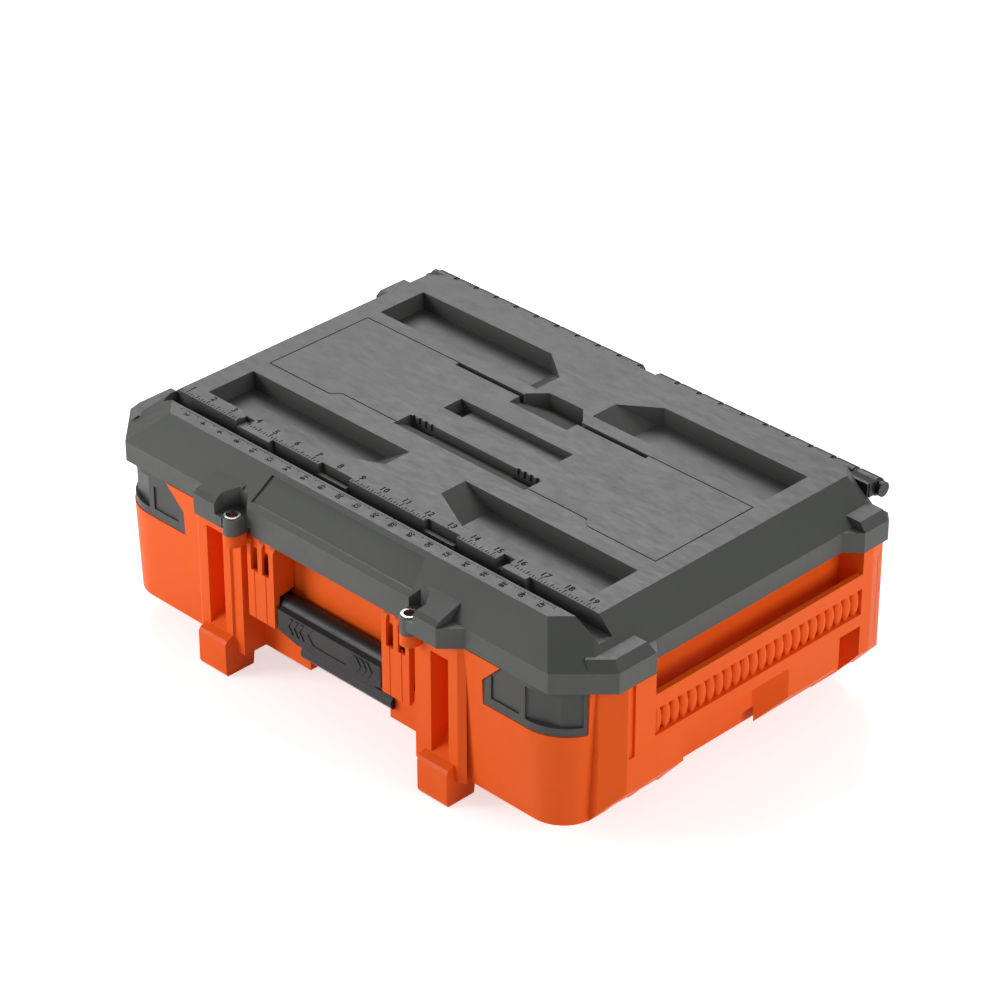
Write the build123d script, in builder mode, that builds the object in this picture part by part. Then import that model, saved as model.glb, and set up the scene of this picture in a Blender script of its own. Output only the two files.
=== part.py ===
from build123d import *
import os

# Stackable toolbox: an orange base, a dark grey lid hinged along the back, two latches
# and a folding front handle. Millimetres, +Z up, -Y is the front with the latches.
# The origin is on the ground under the middle of the box.

# overall sizes
height = 193.0
half_width = 281.0
foot_drop = 22.0
wall = 3.2
front_face = -181.0
rear_face = 178.0
parting = 148.0
parting_gap = 0.3
move_gap = 0.4
running_fit = 0.05

# base body
body_half = 265.0
corner_radius = 45.0
bottom_half = 257.0
bottom_front = -175.5
bottom_corner_radius = 32.0
rim_width = 10.0
rim_height = 7.0

# side bumpers and the grip channel between them
channel_wall = 255.0
bay_front = -101.5
bay_rear = 139.5
rail_top = 128.0
rail_bottom = 79.0
rail_thickness = 5.0
rib_window_bottom = 90.2
rib_window_top = 114.4
rib_count = 24
rib_end_radius = 2.2
rib_mid_radius = 4.8
side_bevel_start = 51.0
side_recess_depth = 20.0
side_recess_start = -68.5
side_recess_end = 33.5
side_recess_bottom = 42.0
side_undercut_run = 23.0
corner_fill_top = 50.0
corner_fill_run = 24.0
side_pocket_start = 114.5
column_groove_bottom = 82.0

# front bay that holds the latches and the handle
bay_half = 101.0
bay_wall = -158.5
finger_half = 47.0
finger_wall = -138.5
finger_top = 82.0
column_half_outer = 146.0
foot_inner = 113.0
foot_front = -192.5
column_front = -184.0
column_step = 111.5
column_step_depth = 2.0
foot_shoulder = 37.0
column_pocket_inner = 120.5
column_pocket_outer = 140.0
column_pocket_bottom = 37.5
column_pocket_top = 132.0
column_pocket_depth = 22.0
rear_foot_front = 140.0

# lid
ridge = 166.3
deck_half = 241.0
deck_front = -153.5
deck_back = 174.0
flange_mid_half = 268.0
lid_front = -180.5
lid_rear = 176.5
flange_chamfer = 38.0
lid_lip_bottom = 141.4
lid_lip_half = 90.5
bumper_top = 174.0
bumper_inner = 250.0
bumper_length = 16.0
bumper_slope = 8.0
tray_depth = 16.5
ruler_groove_front = -138.5
ruler_groove_back = -123.5
ruler_groove_depth = 14.0
outline_groove = 1.2
seal_width = 4.0
seal_height = 3.0

# padlock lugs
eyelet_x = 102.4
eyelet_y = -188.2
eyelet_outer = 6.9
eyelet_bore = 5.0
lug_radius = 8.3
base_lug_height = 10.7
lug_top = 158.6
lug_bottom = 143.3
block_outer = 141.6
block_front = -196.5

# rear hinge
hinge_y = 188.5
hinge_z = 176.0
hinge_radius = 8.0
hinge_pin_radius = 3.0
knuckle_pitch = 24.5
knuckle_count = 10
knuckle_gap = 0.5
hinge_start = 9.0
leaf_thickness = 4.0
leaf_bottom = 112.0
leaf_top = 163.0

# latches
latch_inner = 62.8
latch_outer = 93.8
latch_front = -181.5
latch_bottom = 65.5
latch_plate = 2.5
latch_pin_y = -174.0
latch_pin_z = 133.5
latch_pin_radius = 2.0
latch_slot_bottom = 111.0
latch_strap = 5.3
latch_mid_strap = 5.2
cheek_depth = 22.0
cheek_radius = 39.4
cheek_strip = 5.4

# handle
handle_half = 61.5
handle_y = -168.0
handle_z = 85.0
handle_tube = 9.0
handle_bottom = 57.0
handle_front = -180.5
handle_back = -161.0
boss_radius = 7.5
handle_pin_radius = 3.0

# small fasteners
screw_shank = 1.6
screw_head = 3.4
screw_head_height = 2.2

screw_fit = 0.2
hinge_screw_z = 130.0
hinge_screw_x = [hinge_start + knuckle_pitch * n for n in (1, 4, 7)]
bracket_screw_x = 78.0
bracket_screw_z = [handle_z + boss_radius + n for n in (5.0, 12.0)]
keeper_screw_x = (73.0, 84.0)
keeper_screw_z = 68.0
cleat_screw_x = (180.0, 208.0)
cleat_screw_z = 126.0
cleat_screw_tip = -172.0

base_bottom = foot_drop
rim_top = parting - parting_gap
cavity_half = channel_wall - wall
cavity_rear = rear_face - wall
cavity_floor = base_bottom + wall
os.makedirs("parts", exist_ok=True)


def block(x0, x1, y0, y1, z0, z1, mode=Mode.ADD):
    """A box between two corners, joined to or cut from the part being made."""
    with Locations(((x0 + x1) / 2, (y0 + y1) / 2, (z0 + z1) / 2)):
        Box(abs(x1 - x0), abs(y1 - y0), abs(z1 - z0), mode=mode)


def plan_prism(points, z0, z1, mode=Mode.ADD):
    """An outline seen from above, extruded from z0 up to z1."""
    with BuildSketch(Plane.XY.offset(z0)) as outline:
        with BuildLine():
            Polyline(*points, close=True)
        make_face()
    extrude(outline.sketch, amount=z1 - z0, mode=mode)


def front_prism(points, y0, y1, mode=Mode.ADD):
    """An outline of x and z, extruded from y0 back to y1."""
    with BuildSketch(Plane.XZ.offset(-y1)) as outline:
        with BuildLine():
            Polyline(*points, close=True)
        make_face()
    extrude(outline.sketch, amount=y1 - y0, mode=mode)


def side_prism(points, x0, x1, mode=Mode.ADD):
    """An outline of y and z, extruded from the lower to the higher x."""
    low = min(x0, x1)
    with BuildSketch(Plane.YZ.offset(low)) as outline:
        with BuildLine():
            Polyline(*points, close=True)
        make_face()
    extrude(outline.sketch, amount=abs(x1 - x0), mode=mode)


def rod_x(y, z, radius, x0, x1, mode=Mode.ADD):
    """A round bar along X."""
    with Locations(Location(((x0 + x1) / 2, y, z), (0, 90, 0))):
        Cylinder(radius, abs(x1 - x0), mode=mode)


def rod_y(x, z, radius, y0, y1, mode=Mode.ADD):
    """A round bar along Y."""
    with Locations(Location((x, (y0 + y1) / 2, z), (90, 0, 0))):
        Cylinder(radius, abs(y1 - y0), mode=mode)


def rod_z(x, y, radius, z0, z1, mode=Mode.ADD):
    """A round bar along Z."""
    with Locations((x, y, (z0 + z1) / 2)):
        Cylinder(radius, abs(z1 - z0), mode=mode)


def save(piece, name):
    """Labels a finished piece and writes its file."""
    piece.part.label = name
    export_step(piece.part, f"parts/{name}.step")


def mirrored(points):
    """The right half of an outline, front to back, closed by its mirror image."""
    return points + [(-x, y) for x, y in reversed(points)]


def screw_y(x, z, tip_y, top_y):
    """A screw along Y, from its tip to the top of its head."""
    toward_tip = 1 if tip_y > top_y else -1
    rod_y(x, z, screw_shank, tip_y, top_y)
    rod_y(x, z, screw_head, top_y, top_y + toward_tip * screw_head_height)


def screw_hole(x, z, y0, y1):
    """A hole along Y that a screw's shank fits."""
    rod_y(x, z, screw_shank + screw_fit, y0, y1, mode=Mode.SUBTRACT)


# base shell
def base_outline(z, half, front, radius):
    """The base's rounded plan at height z."""
    with BuildSketch(Plane.XY.offset(z)) as outline:
        with Locations((0, (front + rear_face) / 2)):
            RectangleRounded(2 * half, rear_face - front, radius)
    return outline.sketch


def base_side(side):
    """One side of the base: bumper columns, grip rail with its ribs, lower blocks."""
    outer = side * half_width
    inner = side * (channel_wall - 1)
    profile = [
        (inner, rim_top),
        (outer, rim_top),
        (outer, side_bevel_start),
        (side * bottom_half, base_bottom),
        (inner, base_bottom),
    ]
    column_start = bay_front - 47
    front_prism(profile, column_start, rear_face - 8)
    slope = half_width - body_half
    # the column's front slopes back to the rounded corner
    plan_prism(
        [
            (outer + side, column_start - 1),
            (outer + side, column_start + slope + 1),
            (side * body_half, column_start - 1),
        ],
        base_bottom - 1,
        parting + 1,
        mode=Mode.SUBTRACT,
    )
    channel = side * channel_wall
    block(channel, outer + side, bay_front, bay_rear, rail_top, parting + 1, mode=Mode.SUBTRACT)
    rail_back = side * (half_width - rail_thickness)
    block(channel, rail_back, bay_front, bay_rear, rail_bottom, rail_top + 1, mode=Mode.SUBTRACT)
    block(
        rail_back - side, outer + side, bay_front, bay_rear,
        rib_window_bottom, rib_window_top, mode=Mode.SUBTRACT,
    )
    recess = side * (half_width - side_recess_depth)
    plan_prism(
        [
            (outer + side, side_recess_start),
            (recess, side_recess_start),
            (recess, side_recess_end),
            (outer + side, side_recess_end + side_recess_depth + 1),
        ],
        base_bottom - 1,
        rail_bottom,
        mode=Mode.SUBTRACT,
    )
    block(
        recess, outer + side, side_pocket_start, bay_rear,
        base_bottom - 1, rail_bottom, mode=Mode.SUBTRACT,
    )
    # the lower edge of the recess slopes in under the box
    undercut_end = side_recess_end + side_recess_depth
    steep = side_undercut_run / (side_recess_bottom - base_bottom)
    front_prism(
        [
            (recess + side, side_recess_bottom + 1 / steep),
            (recess + side, base_bottom - 1),
            (recess - side * (side_undercut_run + steep), base_bottom - 1),
        ],
        side_recess_start,
        undercut_end,
        mode=Mode.SUBTRACT,
    )
    # a narrow upright groove in the front column
    groove_y = bay_front - 29
    block(
        outer - 2.5 * side, outer + side, groove_y, groove_y + 6.5, column_groove_bottom, parting,
        mode=Mode.SUBTRACT,
    )
    # a thin line along the channel's wall and small slits in the lower bevels
    line_z = 108.0
    block(channel - side, channel + side, bay_front - 1, bay_rear + 1, line_z - 0.6, line_z + 0.6)
    for y0, y1 in ((-119.0, -103.5), (bay_rear + 11, bay_rear + 19)):
        block(outer - 12 * side, outer + side, y0, y1, 43.5, 47.5, mode=Mode.SUBTRACT)
    # the rear corner is cut back
    plan_prism(
        [
            (outer + side, bay_rear + 12),
            (outer, bay_rear + 12),
            (outer - 9 * side, rear_face + 1),
            (outer + side, rear_face + 1),
        ],
        base_bottom - 1,
        parting + 1,
        mode=Mode.SUBTRACT,
    )


def base_underside(side):
    """The moulded hollows of the bumper columns and the lower block, open below."""
    near = side * (channel_wall + 1)
    far = side * (half_width - wall)
    hollows = (
        (bay_front - 28, bay_front - wall, 134.0),
        (bay_front + wall, side_recess_start - wall, rail_bottom - wall),
        (side_recess_end + side_recess_depth, side_pocket_start - wall, rail_bottom - wall),
        (bay_rear + wall, rear_face - 13 - wall, 134.0),
    )
    for y0, y1, top in hollows:
        block(near, far, y0, y1, base_bottom + 30, top, mode=Mode.SUBTRACT)
        block(near, side * (half_width - 18), y0, y1, base_bottom - 1, base_bottom + 31, mode=Mode.SUBTRACT)


def base_ribs(side):
    """The row of spindle shaped ribs across the rail's window."""
    window = rib_window_top - rib_window_bottom
    pitch = (bay_rear - bay_front) / rib_count
    rib_x = side * (half_width - rib_mid_radius - 0.3)
    with BuildSketch(Plane.XZ) as half_profile:
        with BuildLine():
            Polyline(
                (rib_end_radius, -1), (0, -1), (0, window + 1),
                (rib_end_radius, window + 1), (rib_end_radius, window),
            )
            ThreePointArc((rib_end_radius, window), (rib_mid_radius, window / 2), (rib_end_radius, 0))
            Line((rib_end_radius, 0), (rib_end_radius, -1))
        make_face()
    with BuildPart() as rib:
        revolve(half_profile.sketch, axis=Axis.Z)
    return [
        rib.part.moved(Location((rib_x, bay_front + pitch * (i + 0.5), rib_window_bottom)))
        for i in range(rib_count)
    ]


def base_front_column(side):
    """A front column, whose inner strip is set back, with its foot."""
    front_prism(
        [
            (side * bay_half, base_bottom),
            (side * column_half_outer, base_bottom),
            (side * column_half_outer, rim_top),
            (side * bay_half, rim_top),
        ],
        column_front + column_step_depth,
        bay_wall,
    )
    plan_prism(
        [
            (side * column_step, column_front + column_step_depth),
            (side * (column_step + 1), column_front),
            (side * (column_half_outer + 4), column_front),
            (side * (column_half_outer + 10), front_face + 1),
            (side * column_step, front_face + 1),
        ],
        base_bottom,
        rim_top,
    )
    side_prism(
        [
            (foot_front + 1.5, 0),
            (foot_front, 3),
            (foot_front, foot_shoulder - 6),
            (foot_front + 2, foot_shoulder - 3),
            (column_front, foot_shoulder),
            (bay_wall, foot_shoulder),
            (bay_wall - 4, 0),
        ],
        side * foot_inner,
        side * column_half_outer,
    )


def base_front_cuts(side):
    """The pocket of one front column and the room for the lid's lug."""
    with BuildPart(mode=Mode.PRIVATE) as pocket:
        block(
            side * column_pocket_inner, side * column_pocket_outer,
            column_front - 5, column_front + column_pocket_depth,
            column_pocket_bottom, column_pocket_top,
        )
        # the floor slopes down towards the front
        side_prism(
            [
                (column_front - 6, column_pocket_bottom - 1),
                (column_front - 6, column_pocket_bottom),
                (column_front, column_pocket_bottom),
                (column_front + column_pocket_depth + 1, column_pocket_bottom + 16),
                (column_front + column_pocket_depth + 1, column_pocket_bottom - 1),
            ],
            side * column_pocket_inner,
            side * column_pocket_outer,
            mode=Mode.SUBTRACT,
        )
    add(pocket.part, mode=Mode.SUBTRACT)
    block(
        side * (eyelet_x - lug_radius - 1), side * (eyelet_x + lug_radius + 1),
        foot_front, lid_front + 5, lug_bottom - parting_gap, parting + 1, mode=Mode.SUBTRACT,
    )


def base_lug(side):
    """The padlock lug of the base, right under the lid's lug."""
    low = lug_bottom - base_lug_height
    high = lug_bottom - parting_gap
    rod_z(side * eyelet_x, eyelet_y, lug_radius, low, high)
    block(
        side * (eyelet_x - lug_radius), side * (eyelet_x + lug_radius),
        eyelet_y, column_front + column_step_depth + 1, low, high,
    )
    rod_z(side * eyelet_x, eyelet_y, eyelet_bore, low - 1, high + 1, mode=Mode.SUBTRACT)


def cleat_outline(outset, z):
    """The base's front corner zone, grown or shrunk by outset, from the cleat's inner end outward."""
    with BuildSketch(Plane.XY.offset(z)) as outline:
        with Locations((0, (front_face + rear_face) / 2)):
            RectangleRounded(
                2 * (body_half + outset), rear_face - front_face + 2 * outset, corner_radius + outset
            )
    return outline.sketch


cleat_inner = 173.5
cleat_rear = -153.5
cleat_bottom = 106.0
cleat_thickness = 14.0
cleat_chamfer = 20.0
cleat_fit = 0.6


def cleat_region(side, clearance):
    """The block of space that a corner cleat is cut from, with a clearance all round."""
    inner = side * (cleat_inner - clearance)
    far = side * (half_width + 5)
    low = cleat_bottom - clearance
    front_prism(
        [
            (inner, low),
            (far, low),
            (far, rim_top),
            (inner + side * cleat_chamfer, rim_top),
            (inner, rim_top - cleat_chamfer),
        ],
        front_face - 5,
        cleat_rear + clearance,
    )


with BuildPart() as base_shell:
    loft(
        [
            base_outline(base_bottom, bottom_half, bottom_front, bottom_corner_radius),
            base_outline(rim_top, body_half, front_face, corner_radius),
        ],
        ruled=True,
    )
    for side in (-1, 1):
        base_side(side)
        base_front_column(side)
    # the bay between the front columns, with the deeper finger room behind the grip
    block(-bay_half, bay_half, foot_front - 1, bay_wall, -1, parting + 1, mode=Mode.SUBTRACT)
    block(-finger_half, finger_half, bay_wall - 1, finger_wall, -1, finger_top, mode=Mode.SUBTRACT)
    for side in (-1, 1):
        base_front_cuts(side)
        base_lug(side)
        base_underside(side)
        # rear feet
        block(
            side * foot_inner, side * column_half_outer, rear_foot_front, rear_face - 6,
            0, base_bottom + 1,
        )
    # the box's inside, which steps round the bay and the finger room
    inside = [
        (finger_half + wall, finger_wall + wall),
        (finger_half + wall, bay_wall + wall),
        (bay_half + wall + 60, bay_wall + wall),
        (cavity_half - 18, bay_wall + wall),
        (cavity_half, bay_wall + wall + 18),
        (cavity_half, cavity_rear),
    ]
    plan_prism(mirrored(inside), cavity_floor, rim_top - rim_height, mode=Mode.SUBTRACT)
    # the inside's lower corners slope as the outside does
    for side in (-1, 1):
        front_prism(
            [
                (side * (cavity_half + 1), cavity_floor - 1),
                (side * (cavity_half + 1), corner_fill_top),
                (side * (cavity_half - corner_fill_run), cavity_floor - 1),
            ],
            side_recess_start - wall,
            side_recess_end + side_recess_depth + wall,
        )
    lip = rim_width - wall
    mouth = [
        (cavity_half - 24, bay_wall + wall + 4),
        (cavity_half - lip, bay_wall + wall + 22),
        (cavity_half - lip, cavity_rear - lip),
    ]
    plan_prism(mirrored(mouth), rim_top - rim_height - 1, parting + 1, mode=Mode.SUBTRACT)
    for side in (-1, 1):
        add(base_ribs(side))
    # the upright post in the middle of the hinge
    post_half = hinge_start - 1.5
    block(-post_half, post_half, rear_face - 2, hinge_y + 4, 130, rim_top)
    block(-post_half, post_half, rear_face, hinge_y + 4, rim_top - 1, hinge_z - 2)
    for side in (-1, 1):
        # screw holes
        for x in hinge_screw_x:
            screw_hole(side * x, hinge_screw_z, cavity_rear - 2, rear_face + 0.5)
        for z in bracket_screw_z:
            screw_hole(side * bracket_screw_x, z, bay_wall - 1, bay_wall + wall + 1)
        for x in keeper_screw_x:
            screw_hole(side * x, keeper_screw_z, bay_wall - 1, bay_wall + wall + 1)
        for x in cleat_screw_x:
            screw_hole(side * x, cleat_screw_z, cleat_screw_tip, bay_wall + wall + 1)
        # seats of the corner cleats
        with BuildPart(mode=Mode.PRIVATE) as seat:
            cleat_region(side, cleat_fit)
            extrude(
                cleat_outline(-cleat_thickness - cleat_fit, cleat_bottom - 5),
                amount=60, mode=Mode.SUBTRACT,
            )
        add(seat.part, mode=Mode.SUBTRACT)
save(base_shell, "base_shell")

# corner cleats, dark inserts flush with the base's rounded front corners
cleat_names = {-1: "left", 1: "right"}
for side in (-1, 1):
    with BuildPart() as cleat:
        with BuildPart(mode=Mode.PRIVATE) as region:
            cleat_region(side, 0)
            extrude(
                cleat_outline(-cleat_thickness, cleat_bottom - 5), amount=60, mode=Mode.SUBTRACT
            )
        extrude(cleat_outline(-2.2, cleat_bottom), amount=rim_top - cleat_bottom)
        add(region.part, mode=Mode.INTERSECT)
        # shallow panel on the front plate and the deep pocket of the corner
        panel = side * (cleat_inner + 8)
        block(
            panel, panel + side * 30, front_face - 5, front_face + 3.6,
            cleat_bottom + 8, rim_top - 12, mode=Mode.SUBTRACT,
        )
        plan_prism(
            [
                (side * (cleat_inner + 44), front_face - 5),
                (side * (cleat_inner + 44), front_face + 4),
                (side * (body_half - 20), front_face + 13),
                (side * (body_half - 9), front_face + 25),
                (side * (body_half + 5), front_face + 25),
                (side * (body_half + 5), front_face - 5),
            ],
            cleat_bottom + 7,
            rim_top - 5,
            mode=Mode.SUBTRACT,
        )
        for x in cleat_screw_x:
            screw_hole(side * x, cleat_screw_z, cleat_screw_tip, bay_wall)
    save(cleat, f"corner_cleat_{cleat_names[side]}")

# lid shell
lid_mid_chamfer = 25.0
lid_cavity_top = 173.5
lid_dome_top = 189.0
hinge_strip = 3.0
hinge_strip_half = 255.0
hinge_strip_bottom = 172.0
hinge_strip_top = 185.0
tray_inner_y = 65.0 + ruler_groove_back
tray_outer_x = 220.0
tray_front_y = 15.0 + ruler_groove_back
back_tray_front = 210.5 + ruler_groove_back
back_tray_rear = 262.0 + ruler_groove_back
nose_x = 79.0
nose_tip = 32.0
ramp_foot = 60.0
centre_half = 64.0
centre_front = 134.0 + ruler_groove_back
centre_rear = 155.0 + ruler_groove_back
centre_depth = 7.0
groove_pocket_x = (-70.0, 52.0)
groove_pocket_length = 36.0


front_scoop_half = 75.0
front_scoop_front = 88.0 + ruler_groove_back
front_scoop_back = 107.5 + ruler_groove_back
back_scoop_half = 33.0
outline_back = 196.5 + ruler_groove_back
back_slot_y = outline_back - 2.2
back_slot_end = 109.0
front_scoop_depth = 9.0
end_pocket_depth = 14.0
centre_pocket_depth = 12.0
back_scoop_front = back_slot_y - 15
back_scoop_back = back_slot_y + 19
back_scoop_cut = 15.0
back_scoop_depth = 15.0
back_slot_depth = 12.0
back_slot_half_width = 2.6
# the inside of the lid, as spans of y and the height of the ceiling over each
domes = (
    (tray_inner_y + wall, front_scoop_front - wall, lid_dome_top),
    (front_scoop_front - wall, front_scoop_back + wall, height - end_pocket_depth - wall),
    (front_scoop_back + wall, centre_front - wall, lid_dome_top),
    (centre_front - wall, centre_rear + wall, height - centre_pocket_depth - wall),
    (centre_rear + wall, back_scoop_front - wall, lid_dome_top),
    (back_scoop_front - wall, back_scoop_back + wall, height - back_scoop_depth - wall),
)
panel_x = 220.5
panel_front = 84.0 + ruler_groove_back
field_half = 96.0


def flange_outline():
    """The lid's lower outline with its corner bumpers."""
    step = half_width - flange_mid_half
    chamfer_start = half_width - flange_chamfer
    return mirrored(
        [
            (chamfer_start, lid_front),
            (half_width, lid_front + flange_chamfer),
            (half_width, bay_front),
            (flange_mid_half, bay_front + step),
            (flange_mid_half, bay_rear - step),
            (half_width, bay_rear),
            (half_width, lid_rear - 8),
            (half_width - 8, lid_rear),
        ]
    )


def bevel_outline(half, front, back, front_cut, back_cut):
    """A lid outline with cut corners, one level of the sloping edge."""
    return mirrored(
        [
            (half - front_cut, front),
            (half, front + front_cut),
            (half, back - back_cut),
            (half - back_cut, back),
        ]
    )


def flat_face(points, z):
    """A flat outline at height z, as a section for a loft."""
    with BuildSketch(Plane.XY.offset(z)) as section:
        with BuildLine():
            Polyline(*points, close=True)
        make_face()
    return section.sketch


def front_tray(side):
    """The outline of a front tray, with its slanted nose towards the middle."""
    return [
        (side * tray_outer_x, tray_front_y),
        (side * tray_outer_x, tray_inner_y),
        (side * nose_tip, tray_inner_y),
        (side * nose_tip, tray_inner_y - 27),
        (side * nose_x, tray_front_y),
    ]


def back_tray(side):
    """The outline of a back tray."""
    return [
        (side * tray_outer_x, back_tray_front),
        (side * tray_outer_x, back_tray_rear),
        (side * (nose_tip + 33), back_tray_rear),
        (side * nose_tip, back_tray_rear - 24),
        (side * nose_tip, back_tray_front),
    ]


def tray(points, side):
    """Cuts a flat tray whose nose rises to the deck."""
    floor = height - tray_depth
    low_y = min(y for x, y in points)
    high_y = max(y for x, y in points)
    with BuildPart(mode=Mode.PRIVATE) as room:
        plan_prism(points, floor, height + 1)
        front_prism(
            [
                (side * ramp_foot, floor - 1),
                (side * ramp_foot, floor),
                (side * nose_tip, height),
                (side * (nose_tip - 1), height),
                (side * (nose_tip - 1), floor - 1),
            ],
            low_y - 1,
            high_y + 1,
            mode=Mode.SUBTRACT,
        )
    add(room.part, mode=Mode.SUBTRACT)


def groove_line(points, width, depth):
    """A narrow groove along straight runs of the deck."""
    for (x0, y0), (x1, y1) in zip(points, points[1:]):
        run = ((x1 - x0) ** 2 + (y1 - y0) ** 2) ** 0.5
        step_x = (x1 - x0) / run * width / 2
        step_y = (y1 - y0) / run * width / 2
        plan_prism(
            [
                (x0 - step_x - step_y, y0 - step_y + step_x),
                (x1 + step_x - step_y, y1 + step_y + step_x),
                (x1 + step_x + step_y, y1 + step_y - step_x),
                (x0 - step_x + step_y, y0 - step_y - step_x),
            ],
            height - depth,
            height + 1,
            mode=Mode.SUBTRACT,
        )


def deck_scoop(half, y_front, y_back, depth, end_cut):
    """A recess with an upright back wall, whose floor rises to the deck at its front."""
    with BuildPart(mode=Mode.PRIVATE) as scoop:
        side_prism(
            [(y_front, height + 1), (y_front, height - 0.6), (y_back, height - depth), (y_back, height + 1)],
            -half,
            half,
        )
        for side in (-1, 1):
            plan_prism(
                [
                    (side * (half + 1), y_back + 1),
                    (side * (half + 1), y_back - end_cut),
                    (side * half, y_back - end_cut),
                    (side * (half - end_cut), y_back + 1),
                ],
                height - depth - 1,
                height + 2,
                mode=Mode.SUBTRACT,
            )
    add(scoop.part, mode=Mode.SUBTRACT)


def front_bumper(side, inset):
    """The plan of a front corner bumper, inset from the lid's lower outline."""
    edge_x = half_width - inset
    edge_y = lid_front + flange_chamfer + inset * 0.41
    return [
        (side * (edge_x - bumper_length), edge_y - bumper_length),
        (side * edge_x, edge_y),
        (side * edge_x, bay_front - inset * 0.4),
        (side * (bumper_inner - 2), bay_front - inset * 0.4),
        (side * (bumper_inner - 2), edge_y - bumper_length + 14),
    ]


def padlock_block(side):
    """The angular block and round lug on the lid's front edge."""
    side_prism(
        [
            (block_front, parting + 0.7),
            (block_front, ridge + 1),
            (block_front + 4, ridge + 4.4),
            (lid_front + 14, ridge + 12),
            (lid_front + 14, parting),
            (lid_front, parting),
        ],
        side * (eyelet_x + 4),
        side * (block_outer - 2),
    )
    plan_prism(
        [
            (side * (block_outer - 2), block_front),
            (side * (block_outer + 14), lid_front),
            (side * (block_outer - 2), lid_front),
        ],
        parting,
        ridge,
    )


def padlock_lug(side):
    """The round lug with the room above it for the padlock."""
    room = [(-13, -12), (-12, 4), (-3, 15), (7, 15), (15, 3), (11, -12)]
    plan_prism(
        [(side * (eyelet_x + x), eyelet_y + y) for x, y in room],
        lug_top,
        height,
        mode=Mode.SUBTRACT,
    )
    rod_z(side * eyelet_x, eyelet_y, lug_radius, lug_bottom, lug_top)
    block(
        side * (eyelet_x - lug_radius), side * (eyelet_x + lug_radius),
        eyelet_y, lid_front + 4, lug_bottom, lug_top,
    )


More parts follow.
